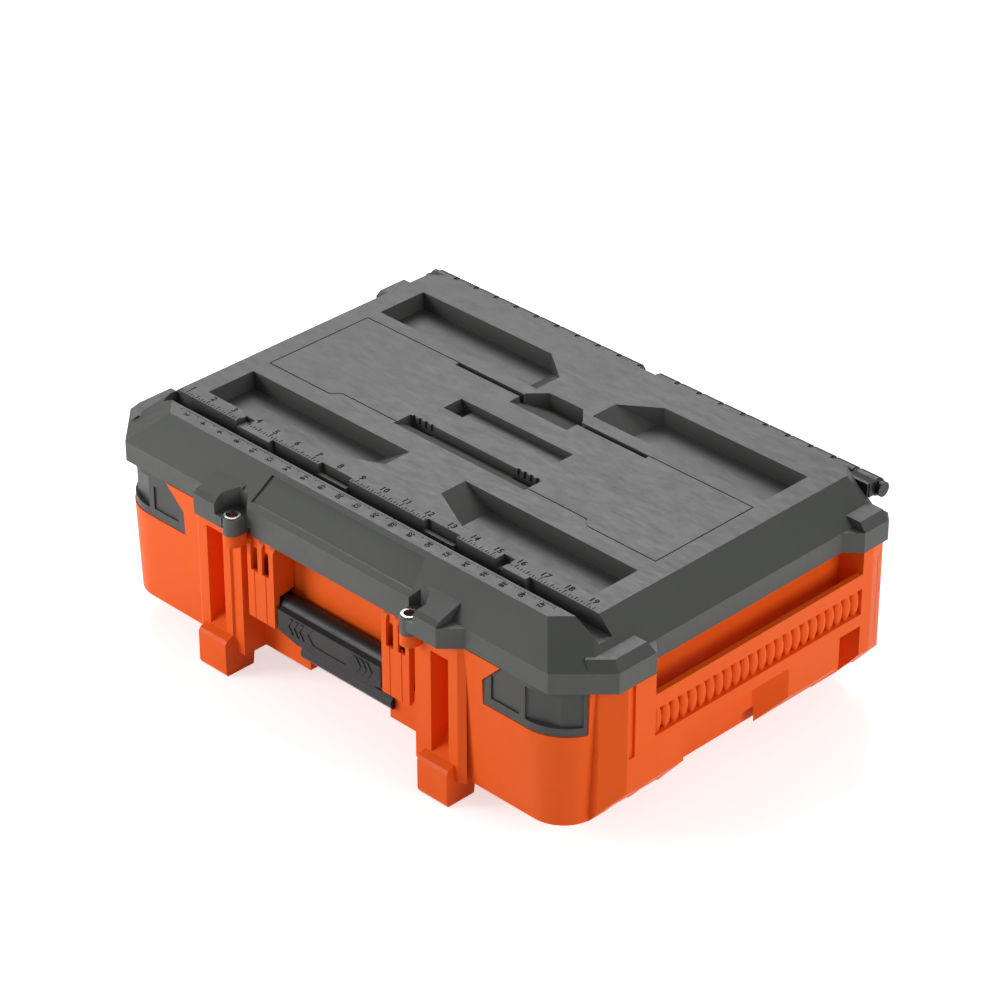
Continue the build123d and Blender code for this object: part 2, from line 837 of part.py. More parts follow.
with BuildPart() as lid_shell:
    plan_prism(flange_outline(), parting, ridge)
    loft(
        [
            flat_face(
                bevel_outline(flange_mid_half, lid_front, lid_rear, lid_mid_chamfer, 10), ridge
            ),
            flat_face(bevel_outline(deck_half, deck_front, deck_back, 25, 12), height),
        ],
        ruled=True,
    )
    for side in (-1, 1):
        # front and rear bumper tops
        front_prism(
            [
                (side * bumper_inner, ridge - 1),
                (side * half_width, ridge - 1),
                (side * half_width, ridge),
                (side * (half_width - 6), bumper_top),
                (side * bumper_inner, bumper_top),
            ],
            bay_rear,
            lid_rear - 9,
        )
        loft(
            [
                flat_face(front_bumper(side, 0), ridge - 0.5),
                flat_face(front_bumper(side, bumper_slope), bumper_top),
            ],
            ruled=True,
        )
        padlock_block(side)
    # the lip over the latches
    block(-lid_lip_half, lid_lip_half, lid_front + 0.5, lid_front + 12, lid_lip_bottom, parting + 1)
    for side in (-1, 1):
        padlock_lug(side)
    # inside
    inner = cavity_half - lip
    plan_prism(
        [
            (-inner, lid_front + 30), (inner, lid_front + 30),
            (inner, lid_rear - 12), (-inner, lid_rear - 12),
        ],
        parting - 1, lid_cavity_top - 9, mode=Mode.SUBTRACT,
    )
    block(
        -tray_outer_x, tray_outer_x, deck_front + 2, deck_back - 5,
        parting - 1, lid_cavity_top, mode=Mode.SUBTRACT,
    )
    for y0, y1, top in domes:
        block(-tray_outer_x, tray_outer_x, y0, y1, parting - 1, top, mode=Mode.SUBTRACT)
    # seat of the hinge strips
    block(
        -hinge_strip_half, hinge_strip_half, lid_rear - hinge_strip, lid_rear + 1,
        hinge_strip_bottom, hinge_strip_top, mode=Mode.SUBTRACT,
    )
    # hollows in the skirt, open below
    for side in (-1, 1):
        block(
            side * (channel_wall - 1.5), side * (flange_mid_half - wall), lid_front + 30, lid_rear - 14,
            parting - 1, ridge - wall, mode=Mode.SUBTRACT,
        )
        block(
            side * (eyelet_x + 14), side * (half_width - flange_chamfer), lid_front + wall,
            bay_wall - 5, parting - 1, ridge - wall, mode=Mode.SUBTRACT,
        )
    # seal seat
    seat_half = inner + 1.5
    seat_front = bay_wall + 1.0
    seat_rear = cavity_rear - lip + 1.5
    with BuildSketch(Plane.XY.offset(parting)) as seal_seat:
        with Locations((0, (seat_front + seat_rear) / 2)):
            RectangleRounded(
                2 * (seat_half + seal_width), seat_rear - seat_front + 2 * seal_width, 3
            )
            RectangleRounded(2 * seat_half, seat_rear - seat_front, 2, mode=Mode.SUBTRACT)
    extrude(seal_seat.sketch, amount=seal_height, mode=Mode.SUBTRACT)
    # deck features
    for side in (-1, 1):
        tray(front_tray(side), side)
        tray(back_tray(side), side)
    block(
        -deck_half - 2, half_width, ruler_groove_front, ruler_groove_back,
        height - ruler_groove_depth, height + 1, mode=Mode.SUBTRACT,
    )
    groove_floor = height - ruler_groove_depth
    plan_prism(
        [
            (-170, ruler_groove_back + 1),
            (-158, ruler_groove_back - 5),
            (-124, ruler_groove_back - 5),
            (-124, ruler_groove_back + 1),
        ],
        groove_floor - 1,
        height,
    )
    block(
        143, 168, ruler_groove_back - 5, ruler_groove_back + 1, groove_floor - 1, height
    )
    block(-168, -157, ruler_groove_back - 3, ruler_groove_back + 11, height - 4, height + 1, mode=Mode.SUBTRACT)
    block(131, 143, ruler_groove_back - 3, ruler_groove_back + 10, height - 7, height + 1, mode=Mode.SUBTRACT)
    # two toothed pockets in the groove's back wall, each over a ledge
    for pocket_x in groove_pocket_x:
        block(
            pocket_x, pocket_x + groove_pocket_length, ruler_groove_back - 1, ruler_groove_back + 4.5,
            height - 10, height + 1, mode=Mode.SUBTRACT,
        )
        block(
            pocket_x + 1, pocket_x + groove_pocket_length - 1, ruler_groove_back - 3,
            ruler_groove_back + 1, height - 11, height - 7,
        )
    plan_prism(
        [
            (-centre_half, centre_front),
            (-centre_half, centre_rear),
            (centre_half, centre_rear),
            (centre_half, centre_front + 4),
            (centre_half - 4, centre_front),
        ],
        height - centre_depth,
        height + 1,
        mode=Mode.SUBTRACT,
    )
    # the tapered front recess with two toothed ends, and the short one at the back
    deck_scoop(front_scoop_half, front_scoop_front, front_scoop_back, front_scoop_depth, 0.5)
    deck_scoop(
        back_scoop_half, back_scoop_front, back_scoop_back, back_scoop_depth, back_scoop_cut
    )
    block(
        -centre_half + 1, -centre_half + 14, centre_front + 1, centre_rear,
        height - centre_pocket_depth, height, mode=Mode.SUBTRACT,
    )
    for side in (-1, 1):
        block(
            side * (front_scoop_half - 29), side * (front_scoop_half - 1), front_scoop_back - 6,
            front_scoop_back, height - end_pocket_depth, height + 1, mode=Mode.SUBTRACT,
        )
        for tooth in range(4):
            tooth_x = front_scoop_half - 27 + 7 * tooth
            block(
                side * tooth_x, side * (tooth_x + 3.5), front_scoop_back - 1,
                front_scoop_back + 1.5, height - 6, height + 1, mode=Mode.SUBTRACT,
            )
        block(
            side * (back_scoop_half - 3), side * back_slot_end, back_slot_y - back_slot_half_width,
            back_slot_y + back_slot_half_width, height - back_slot_depth, height + 1,
            mode=Mode.SUBTRACT,
        )
        # the outline of the side panels
        groove_line(
            [
                (side * back_slot_end, outline_back), (side * panel_x, outline_back),
                (side * panel_x, panel_front), (side * (panel_x - 73), panel_front),
                (side * (panel_x - 81), panel_front + 7.5), (side * front_scoop_half, panel_front + 7.5),
            ],
            outline_groove, 0.8,
        )
        rod_z(side * eyelet_x, eyelet_y, eyelet_outer, lug_bottom - 1, lug_top + 1, mode=Mode.SUBTRACT)
    # the shallow field in the middle of the front bevel, between two slanting creases
    bevel_run = deck_front - lid_front
    bevel_drop = height - ridge
    field_top = 3.5
    field_foot = bevel_drop - 3.5
    slope = bevel_run / bevel_drop
    with BuildPart(mode=Mode.PRIVATE) as field:
        side_prism(
            [
                (deck_front - slope * field_top, height - field_top),
                (deck_front - slope * field_top + 1.8, height - field_top - 1),
                (deck_front - slope * field_foot + 2.6, height - field_foot + 0.6),
                (deck_front - slope * field_foot - 1, height - field_foot + 0.6),
                (deck_front - slope * field_foot - 9, height - field_foot + 1),
                (deck_front - slope * field_top - 9, height - field_top),
            ],
            -field_half,
            field_half,
        )
        for side in (-1, 1):
            front_prism(
                [
                    (side * (field_half + 1), ridge),
                    (side * (field_half - 2), ridge),
                    (side * (field_half - 9), height),
                    (side * (field_half + 1), height),
                ],
                lid_front - 20,
                deck_front + 10,
                mode=Mode.SUBTRACT,
            )
    add(field.part, mode=Mode.SUBTRACT)
save(lid_shell, "lid_shell")

with BuildPart() as lid_seal:
    with BuildSketch(Plane.XY.offset(rim_top + 0.1)) as seal_plan:
        with Locations((0, (seat_front + seat_rear) / 2)):
            outer_grow = 2 * seal_width - 0.4
            RectangleRounded(
                2 * seat_half + outer_grow, seat_rear - seat_front + outer_grow, 3
            )
            RectangleRounded(
                2 * seat_half + 0.4, seat_rear - seat_front + 0.4, 2, mode=Mode.SUBTRACT
            )
    extrude(seal_plan.sketch, amount=seal_height + 0.2)
save(lid_seal, "lid_seal")

with BuildPart() as lid_eyelets:
    for side in (-1, 1):
        rod_z(side * eyelet_x, eyelet_y, eyelet_outer, lug_bottom, lug_top + 1.2)
    for side in (-1, 1):
        rod_z(side * eyelet_x, eyelet_y, eyelet_bore, lug_bottom - 1, lug_top + 2, mode=Mode.SUBTRACT)
save(lid_eyelets, "lid_eyelets")


# rear hinge: two leaves a side, whose knuckles alternate round one pin
def knuckle_span(index):
    """The start and end of a knuckle, as distances from the middle of the box."""
    start = hinge_start + index * knuckle_pitch
    return start + knuckle_gap / 2, start + knuckle_pitch - knuckle_gap / 2


def knuckle_barrel(side, x0, x1):
    """A round knuckle with a thinner ring at each end."""
    rod_x(hinge_y, hinge_z, hinge_radius - 1, side * x0, side * x1)
    rod_x(hinge_y, hinge_z, hinge_radius, side * (x0 + 2), side * (x1 - 2))


hinge_end = hinge_start + knuckle_count * knuckle_pitch
base_knuckles = range(0, knuckle_count, 2)
lid_knuckles = range(1, knuckle_count, 2)
for side in (-1, 1):
    name = cleat_names[side]
    with BuildPart() as base_leaf:
        leaf_rear = rear_face + leaf_thickness
        block(
            side * (hinge_start + knuckle_gap), side * hinge_end,
            rear_face, leaf_rear, leaf_bottom, leaf_top,
        )
        for i in base_knuckles:
            x0, x1 = knuckle_span(i)
            side_prism(
                [
                    (rear_face, leaf_top - 1),
                    (rear_face, hinge_z - 4),
                    (hinge_y, hinge_z),
                    (hinge_y + hinge_radius - 1, hinge_z - 3),
                    (leaf_rear, leaf_top - 6),
                    (leaf_rear, leaf_top - 8),
                    (rear_face, leaf_top - 8),
                ],
                side * x0,
                side * x1,
            )
            knuckle_barrel(side, x0, x1)
        rod_x(
            hinge_y, hinge_z, hinge_pin_radius + running_fit,
            side * (hinge_start - 1), side * (hinge_end + 1), mode=Mode.SUBTRACT,
        )
        for x in hinge_screw_x:
            screw_hole(side * x, hinge_screw_z, rear_face - 1, leaf_rear + 1)
            rod_y(
                side * x, hinge_screw_z, screw_head + 0.1,
                leaf_rear - screw_head_height, leaf_rear + 1, mode=Mode.SUBTRACT,
            )
    save(base_leaf, f"hinge_leaf_base_{name}")
    with BuildPart() as lid_leaf:
        for i in lid_knuckles:
            x0, x1 = knuckle_span(i)
            knuckle_barrel(side, x0, x1)
            side_prism(
                [
                    (lid_rear - 1, hinge_strip_bottom),
                    (lid_rear - 1, hinge_strip_top),
                    (hinge_y, hinge_z + hinge_radius - 1.2),
                    (hinge_y, hinge_strip_bottom),
                ],
                side * x0,
                side * x1,
            )
        # the strip that joins the knuckles along the lid's back
        strip_x = side * (hinge_start + 2), side * (hinge_end - 1)
        block(*strip_x, lid_rear - hinge_strip, lid_rear, hinge_strip_bottom, hinge_strip_top)
        rod_x(
            hinge_y, hinge_z, hinge_pin_radius + running_fit,
            side * (hinge_start - 1), side * (hinge_end + 1), mode=Mode.SUBTRACT,
        )
    save(lid_leaf, f"hinge_leaf_lid_{name}")
    with BuildPart() as hinge_pin:
        rod_x(hinge_y, hinge_z, hinge_pin_radius, side * (hinge_start + 0.5), side * hinge_end)
        rod_x(hinge_y, hinge_z, hinge_radius - 1.5, side * (hinge_end + 0.3), side * (hinge_end + 4))
        rod_x(hinge_y, hinge_z, hinge_pin_radius, side * hinge_end, side * (hinge_end + 1))
    save(hinge_pin, f"hinge_pin_{name}")

# latches: a U-shaped lever hinged on ears under the lid's lip
slot_inner = latch_inner + latch_strap
slot_outer = latch_outer - latch_strap + 1.1
slot_mid = (slot_inner + slot_outer) / 2
ear_gap = 0.6
ears = (
    (slot_inner + ear_gap, slot_mid - latch_mid_strap / 2 - ear_gap),
    (slot_mid + latch_mid_strap / 2 + ear_gap, slot_outer - ear_gap),
)
ear_radius = 5.0
keeper_top = 78.0
keeper_bottom = 72.5
keeper_front = -174.0
hook_top = keeper_bottom - move_gap
latch_back = latch_front + cheek_depth
latch_strip = latch_front + cheek_strip


def latch_cheek(side, x0):
    """One cheek of a latch: deep near its pin, a narrow strip below, open for the handle's boss."""
    x1 = side * (x0 + latch_plate)
    with BuildPart(mode=Mode.PRIVATE) as cheek:
        side_prism(
            [
                (latch_front, latch_bottom + 3),
                (latch_front, latch_pin_z),
                (latch_back, latch_pin_z),
                (latch_back, latch_bottom + 3),
            ],
            side * x0,
            x1,
        )
        rod_x(
            latch_pin_y, latch_pin_z, cheek_radius, side * (x0 - 1),
            side * (x0 + latch_plate + 1), mode=Mode.INTERSECT,
        )
    add(cheek.part)
    side_prism(
        [
            (latch_front, latch_bottom),
            (latch_front, latch_pin_z - 20),
            (latch_strip + 2, latch_pin_z - 20),
            (latch_strip, latch_bottom + 14),
            (latch_strip, latch_bottom + 3),
            (latch_front + 3, latch_bottom),
        ],
        side * x0,
        x1,
    )


for side in (-1, 1):
    name = cleat_names[side]
    with BuildPart() as lever:
        # front plate with its rounded top
        block(
            side * latch_inner, side * latch_outer, latch_front, latch_front + latch_plate,
            latch_bottom, latch_pin_z,
        )
        rod_x(
            latch_pin_y, latch_pin_z, latch_pin_y - latch_front,
            side * latch_inner, side * latch_outer,
        )
        latch_cheek(side, latch_inner)
        latch_cheek(side, latch_outer - latch_plate)
        # the hook ledge behind the plate
        block(
            side * (slot_inner + 2), side * (slot_outer - 2), latch_front + 1,
            keeper_front - move_gap, latch_bottom + 1, hook_top,
        )
        # open-topped slots for the lid's ears
        for x0, x1 in ears:
            block(
                side * (x0 - ear_gap), side * (x1 + ear_gap), latch_front - 10, latch_back + 1,
                latch_slot_bottom, latch_pin_z + 20, mode=Mode.SUBTRACT,
            )
        # a line down the plate below each slot
        for x0, x1 in ears:
            line_x = side * (x0 + x1) / 2
            block(
                line_x - 0.5, line_x + 0.5, latch_front - 1, latch_front + 0.7,
                latch_bottom - 1, latch_slot_bottom + 1, mode=Mode.SUBTRACT,
            )
        rod_x(
            latch_pin_y, latch_pin_z, latch_pin_radius + running_fit,
            side * (latch_inner + 1.2), side * (latch_outer - 1.2), mode=Mode.SUBTRACT,
        )
    save(lever, f"latch_{name}")
    with BuildPart() as ear_bracket:
        for x0, x1 in ears:
            rod_x(latch_pin_y, latch_pin_z, ear_radius, side * x0, side * x1)
            block(
                side * x0, side * x1, latch_pin_y - ear_radius + 0.5, latch_pin_y + ear_radius,
                latch_pin_z, lid_lip_bottom,
            )
        rod_x(
            latch_pin_y, latch_pin_z, latch_pin_radius,
            side * latch_inner, side * latch_outer, mode=Mode.SUBTRACT,
        )
    save(ear_bracket, f"latch_bracket_{name}")
    with BuildPart() as latch_pin:
        rod_x(
            latch_pin_y, latch_pin_z, latch_pin_radius,
            side * (latch_inner + 1.4), side * (latch_outer - 1.4),
        )
    save(latch_pin, f"latch_pin_{name}")
    with BuildPart() as keeper:
        keeper_inner = side * (slot_inner + 1)
        keeper_outer = side * (slot_outer - 1)
        block(keeper_inner, keeper_outer, bay_wall - 2.5, bay_wall, keeper_bottom - 8, keeper_top)
        side_prism(
            [
                (bay_wall - 1, keeper_bottom),
                (keeper_front, keeper_bottom),
                (keeper_front, keeper_bottom + 2.5),
                (bay_wall - 1, keeper_top),
            ],
            keeper_inner,
            keeper_outer,
        )
        for x in keeper_screw_x:
            screw_hole(side * x, keeper_screw_z, bay_wall - 2, bay_wall + 1)
    save(keeper, f"latch_keeper_{name}")

# handle: a grip on two round bosses that turn in brackets behind the latches
bracket_inner = 67.0
bracket_outer = 89.5
pin_start = handle_half - 7
bracket_fit = 0.3
grip_skin = 2.0
grip_half = handle_half - 1.5
panel_half = 25.0
panel_depth = 1.4
panel_top = 84.0
panel_bottom = 69.0
grip_taper_start = 20.0
grip_taper_rise = 9.5
panel_fit = 0.15


def grip_profile(inset):
    """The grip's section in y and z, shrunk by inset, with a rounded crown."""
    with BuildSketch(Plane.YZ) as section:
        with Locations((handle_y, handle_z)):
            Circle(handle_tube - inset)
        with BuildLine():
            Polyline(
                (handle_y - handle_tube + 1 + inset, handle_z + 3),
                (handle_front + inset, handle_z + 0.5),
                (handle_front + inset, handle_bottom + 4 + inset),
                (handle_front + 4 + inset, handle_bottom + inset),
                (handle_back - 4 - inset, handle_bottom + inset),
                (handle_back - inset, handle_bottom + 4 + inset),
                (handle_y + handle_tube - 2 - inset, handle_z),
                close=True,
            )
        make_face()
    return section.sketch


def cut_grip_ends():
    """The lower corners of the grip rise towards its ends."""
    for side in (-1, 1):
        front_prism(
            [
                (side * grip_taper_start, handle_bottom - 1),
                (side * grip_taper_start, handle_bottom),
                (side * (handle_half + 1), handle_bottom + grip_taper_rise),
                (side * (handle_half + 1), handle_bottom - 1),
            ],
            handle_front - 1,
            handle_back + 1,
            mode=Mode.SUBTRACT,
        )


def panel_outline(grow):
    """The six-sided panel on the front of the grip."""
    half = panel_half + grow
    top = panel_top + grow
    bottom = panel_bottom - grow
    middle = (top + bottom) / 2
    return [
        (-half, middle), (-half + 7, top), (half - 7, top),
        (half, middle), (half - 7, bottom), (-half + 7, bottom),
    ]


with BuildPart() as handle_core:
    extrude(grip_profile(grip_skin), amount=handle_half, both=True)
    cut_grip_ends()
    for side in (-1, 1):
        rod_x(
            handle_y, handle_z, boss_radius, side * (handle_half - 1),
            side * (bracket_inner - bracket_fit),
        )
        rod_x(
            handle_y, handle_z, handle_pin_radius, side * pin_start,
            side * bracket_inner, mode=Mode.SUBTRACT,
        )
save(handle_core, "handle_core")

with BuildPart() as handle_grip:
    extrude(grip_profile(0), amount=grip_half, both=True)
    cut_grip_ends()
    extrude(grip_profile(grip_skin), amount=handle_half, both=True, mode=Mode.SUBTRACT)
    front_prism(
        panel_outline(panel_fit), handle_front - 1, handle_front + grip_skin + 1,
        mode=Mode.SUBTRACT,
    )
save(handle_grip, "handle_grip")

with BuildPart() as handle_panel:
    front_prism(panel_outline(0), handle_front + grip_skin - panel_depth, handle_front + grip_skin)
save(handle_panel, "handle_panel")

for side in (-1, 1):
    name = cleat_names[side]
    with BuildPart() as handle_pin:
        rod_x(handle_y, handle_z, handle_pin_radius, side * pin_start, side * (bracket_outer - 2))
    save(handle_pin, f"handle_pin_{name}")
    with BuildPart() as bracket:
        rod_x(handle_y, handle_z, boss_radius, side * bracket_inner, side * bracket_outer)
        block(
            side * bracket_inner, side * bracket_outer, handle_y, bay_wall,
            handle_z - boss_radius + 2, handle_z + boss_radius,
        )
        block(
            side * bracket_inner, side * bracket_outer, bay_wall - 4, bay_wall,
            handle_z - boss_radius + 2, handle_z + boss_radius + 16,
        )
        rod_x(
            handle_y, handle_z, handle_pin_radius + running_fit,
            side * (bracket_inner - 1), side * (bracket_outer - 1.9), mode=Mode.SUBTRACT,
        )
        for z in bracket_screw_z:
            screw_hole(side * bracket_screw_x, z, bay_wall - 3, bay_wall + 1)
    save(bracket, f"handle_bracket_{name}")

# the black sill under the grip, across the finger room
sill_half = 53.0
sill_top = 44.0
sill_bottom = 33.0
sill_front = bay_wall - 5.0
with BuildPart() as handle_sill:
    side_prism(
        [
            (sill_front, sill_bottom + 3),
            (sill_front + 2, sill_bottom),
            (bay_wall, sill_bottom),
            (bay_wall, sill_top),
            (sill_front + 3, sill_top),
            (sill_front, sill_top - 3),
        ],
        -sill_half,
        sill_half,
    )
save(handle_sill, "handle_sill")

# screws: hinge screws from behind, the others from inside the box
head_clear = screw_head_height
with BuildPart() as hinge_screws:
    for side in (-1, 1):
        for x in hinge_screw_x:
            screw_y(side * x, hinge_screw_z, cavity_rear, rear_face + leaf_thickness)
save(hinge_screws, "hinge_screws")

with BuildPart() as bracket_screws:
    for side in (-1, 1):
        for z in bracket_screw_z:
            screw_y(side * bracket_screw_x, z, bay_wall - 3, bay_wall + wall + head_clear)
save(bracket_screws, "bracket_screws")

with BuildPart() as keeper_screws:
    for side in (-1, 1):
        for x in keeper_screw_x:
            screw_y(side * x, keeper_screw_z, bay_wall - 2, bay_wall + wall + head_clear)
save(keeper_screws, "keeper_screws")

with BuildPart() as cleat_screws:
    for side in (-1, 1):
        for x in cleat_screw_x:
            screw_y(side * x, cleat_screw_z, cleat_screw_tip, bay_wall + wall + head_clear)
save(cleat_screws, "cleat_screws")
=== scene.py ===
import math

import bmesh
import bpy
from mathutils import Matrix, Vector


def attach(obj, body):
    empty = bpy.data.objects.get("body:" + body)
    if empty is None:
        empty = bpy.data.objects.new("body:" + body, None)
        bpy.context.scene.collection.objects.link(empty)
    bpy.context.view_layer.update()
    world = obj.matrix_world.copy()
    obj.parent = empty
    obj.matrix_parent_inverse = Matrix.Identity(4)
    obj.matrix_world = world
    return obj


# An orange toolbox with a dark grey lid. Metres, +Z up, -Y is the front with the latches.
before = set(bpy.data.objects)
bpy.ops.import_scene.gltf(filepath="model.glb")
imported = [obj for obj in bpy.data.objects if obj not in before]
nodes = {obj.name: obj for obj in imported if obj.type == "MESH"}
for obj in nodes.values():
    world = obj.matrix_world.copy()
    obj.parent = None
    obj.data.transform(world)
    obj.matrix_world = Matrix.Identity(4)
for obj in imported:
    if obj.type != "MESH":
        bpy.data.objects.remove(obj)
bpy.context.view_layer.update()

MM = 0.001


# materials
def new_material(name, colour, roughness, metallic=0.0):
    """A principled material, with its shader and node tree at hand."""
    material = bpy.data.materials.new(name)
    material.use_nodes = True
    tree = material.node_tree
    shader = tree.nodes["Principled BSDF"]
    shader.inputs["Base Color"].default_value = (*colour, 1.0)
    shader.inputs["Roughness"].default_value = roughness
    shader.inputs["Metallic"].default_value = metallic
    return material, tree, shader


def noise(tree, scale, detail=2.0, roughness=0.5, stretch=(1, 1, 1)):
    """A noise texture in object coordinates, in features per metre."""
    place = tree.nodes.new("ShaderNodeTexCoord")
    mapping = tree.nodes.new("ShaderNodeMapping")
    mapping.inputs["Scale"].default_value = stretch
    texture = tree.nodes.new("ShaderNodeTexNoise")
    texture.inputs["Scale"].default_value = scale
    texture.inputs["Detail"].default_value = detail
    texture.inputs["Roughness"].default_value = roughness
    tree.links.new(place.outputs["Object"], mapping.inputs["Vector"])
    tree.links.new(mapping.outputs["Vector"], texture.inputs["Vector"])
    return texture.outputs["Fac"]


# a noise texture seldom leaves this range
NOISE_LOW = 0.3
NOISE_HIGH = 0.7


def between(tree, value, low, high):
    """Maps a noise value to the range low to high."""
    ramp = tree.nodes.new("ShaderNodeMapRange")
    ramp.inputs["From Min"].default_value = NOISE_LOW
    ramp.inputs["From Max"].default_value = NOISE_HIGH
    ramp.inputs["To Min"].default_value = low
    ramp.inputs["To Max"].default_value = high
    tree.links.new(value, ramp.inputs["Value"])
    return ramp.outputs["Result"]


def vary_colour(tree, shader, value, dark, light):
    """Mixes the base colour between two shades."""
    mix = tree.nodes.new("ShaderNodeMix")
    mix.data_type = "RGBA"
    mix.inputs["A"].default_value = (*dark, 1.0)
    mix.inputs["B"].default_value = (*light, 1.0)
    tree.links.new(value, mix.inputs["Factor"])
    tree.links.new(mix.outputs["Result"], shader.inputs["Base Color"])


def bump(tree, shader, value, strength, depth, under=None):
    """A bump layer of the given depth in metres, on top of another one."""
    node = tree.nodes.new("ShaderNodeBump")
    node.inputs["Strength"].default_value = strength
    node.inputs["Distance"].default_value = depth
    tree.links.new(value, node.inputs["Height"])
    if under is not None:
        tree.links.new(under.outputs["Normal"], node.inputs["Normal"])
    tree.links.new(node.outputs["Normal"], shader.inputs["Normal"])
    return node


def moulded_plastic(name, colour, roughness, grain_depth, shade=0.08, gloss=0.4):
    """Moulded plastic: fine spark grain, soft flow marks, faint rub marks."""
    material, tree, shader = new_material(name, colour, roughness)
    shader.inputs["Specular IOR Level"].default_value = gloss
    broad = noise(tree, 9.0, detail=3.0)
    dark = tuple(c * (1 - shade) for c in colour)
    light = tuple(min(1.0, c * (1 + shade)) for c in colour)
    vary_colour(tree, shader, between(tree, broad, 0.0, 1.0), dark, light)
    rub = noise(tree, 60.0, detail=5.0, roughness=0.7, stretch=(1, 3, 1))
    spread = 0.07
    rough = between(tree, rub, roughness - spread, roughness + spread)
    tree.links.new(rough, shader.inputs["Roughness"])
    grain = noise(tree, 1500.0, detail=1.0)
    first = bump(tree, shader, grain, 0.35, grain_depth)
    bump(tree, shader, broad, 0.25, 0.0006, under=first)
    return material


def bare_metal(name, colour, roughness):
    """Turned or drawn metal with fine lines and small stains."""
    material, tree, shader = new_material(name, colour, roughness, metallic=1.0)
    lines = noise(tree, 900.0, detail=2.0, stretch=(0.05, 1, 1))
    rough = between(tree, lines, roughness - 0.08, roughness + 0.1)
    tree.links.new(rough, shader.inputs["Roughness"])
    stain = noise(tree, 120.0, detail=4.0)
    dark = tuple(c * 0.8 for c in colour)
    vary_colour(tree, shader, between(tree, stain, 0.0, 1.0), dark, colour)
    bump(tree, shader, lines, 0.15, 0.00005)
    return material


ORANGE = (0.92, 0.125, 0.012)
LID_GREY = (0.074, 0.078, 0.073)
CLEAT_GREY = (0.050, 0.052, 0.050)
BLACK = (0.012, 0.012, 0.013)
MARK_GREY = (0.016, 0.017, 0.016)

orange = moulded_plastic(
    "orange_plastic", ORANGE, 0.46, 0.00005, shade=0.03, gloss=0.15
)
grey = moulded_plastic("grey_plastic", LID_GREY, 0.47, 0.00010, shade=0.05, gloss=0.42)
cleat_grey = moulded_plastic("cleat_plastic", CLEAT_GREY, 0.46, 0.00006)
black = moulded_plastic("black_plastic", BLACK, 0.34, 0.00003)
rubber = moulded_plastic("black_rubber", (0.014, 0.014, 0.015), 0.48, 0.00008)
hinge_black = moulded_plastic("black_coating", (0.014, 0.014, 0.014), 0.40, 0.00006)
mark_grey = moulded_plastic("mark_plastic", MARK_GREY, 0.75, 0.00004, gloss=0.12)
steel = bare_metal("plain_steel", (0.56, 0.56, 0.57), 0.34)
bright = bare_metal("bright_steel", (0.62, 0.62, 0.62), 0.30)

NODE_MATERIAL = {
    "base_shell": orange,
    "latch_left": orange,
    "latch_right": orange,
    "lid_shell": grey,
    "latch_bracket_left": orange,
    "latch_bracket_right": orange,
    "corner_cleat_left": cleat_grey,
    "corner_cleat_right": cleat_grey,
    "handle_core": black,
    "handle_grip": rubber,
    "handle_panel": black,
    "handle_sill": black,
    "handle_bracket_left": black,
    "handle_bracket_right": black,
    "latch_keeper_left": black,
    "latch_keeper_right": black,
    "lid_seal": rubber,
    "lid_eyelets": bright,
    "hinge_pin_left": hinge_black,
    "hinge_pin_right": hinge_black,
    "hinge_leaf_base_left": hinge_black,
    "hinge_leaf_base_right": hinge_black,
    "hinge_leaf_lid_left": hinge_black,
    "hinge_leaf_lid_right": hinge_black,
}

# rounded edges: width in millimetres for each node
EDGE_ROUND = {
    "base_shell": 1.0,
    "lid_shell": 0.9,
    "handle_grip": 1.2,
    "handle_core": 0.8,
    "latch_left": 0.8,
    "latch_right": 0.8,
    "corner_cleat_left": 0.8,
    "corner_cleat_right": 0.8,
    "handle_sill": 0.8,
}
SMALL_ROUND = 0.35
SHARP_ANGLE = math.radians(22)


def round_edges(obj, width):
    """A bevel on sharp edges and smooth shading elsewhere."""
    modifier = obj.modifiers.new("edge", "BEVEL")
    modifier.width = width * MM
    modifier.segments = 2
    modifier.limit_method = "ANGLE"
    modifier.angle_limit = SHARP_ANGLE
    modifier.harden_normals = True
    modifier.use_clamp_overlap = True
    for polygon in obj.data.polygons:
        polygon.use_smooth = True


for node_name, obj in nodes.items():
    obj.data.materials.clear()
    obj.data.materials.append(NODE_MATERIAL.get(node_name, steel))
    round_edges(obj, EDGE_ROUND.get(node_name, SMALL_ROUND))


# the moulded rule on the lid
DECK_Z = 193.0
MARK_ROOT = 0.1
INCH = 25.5
FIRST_INCH_X = -232.5
INCH_COUNT = 19
EIGHTHS = 8
INCH_EDGE_Y = -122.6
INCH_TICK = 5.6
HALF_TICK = 4.6
QUARTER_TICK = 3.2
EIGHTH_TICK = 2.0
TICK_HEIGHT = 0.2
TICK_WIDTH = 0.85
CM_NUMERAL_STEP = 20.3
FIRST_CM_X = -204.5
CM_NUMERAL_COUNT = 21
CM_EDGE_Y = -140.3
CM_NUMERAL_Y = -145.6
CM_LONG_TICK = 2.6
CM_SHORT_TICK = 1.3
CM_TICK_THINNING = 0.72
INCH_NUMERAL_LEFT = 0.6
INCH_NUMERAL_Y = INCH_EDGE_Y + 9.3
NUMERAL_SIZE = 8.6
CM_NUMERAL_SIZE = 7.0

# where the groove's back edge is cut away: x span, and how far back the cut reaches
NICKS = ((-168.5, -156.5, -112.3), (130.5, 143.5, -113.3))
POCKETS = ((-70.5, -33.5, -118.8), (51.5, 88.5, -118.8))
NICKED_INCH = 4
NICKED_INCH_Y = -110.9
NICKED_INCH_SHIFT = 2.2


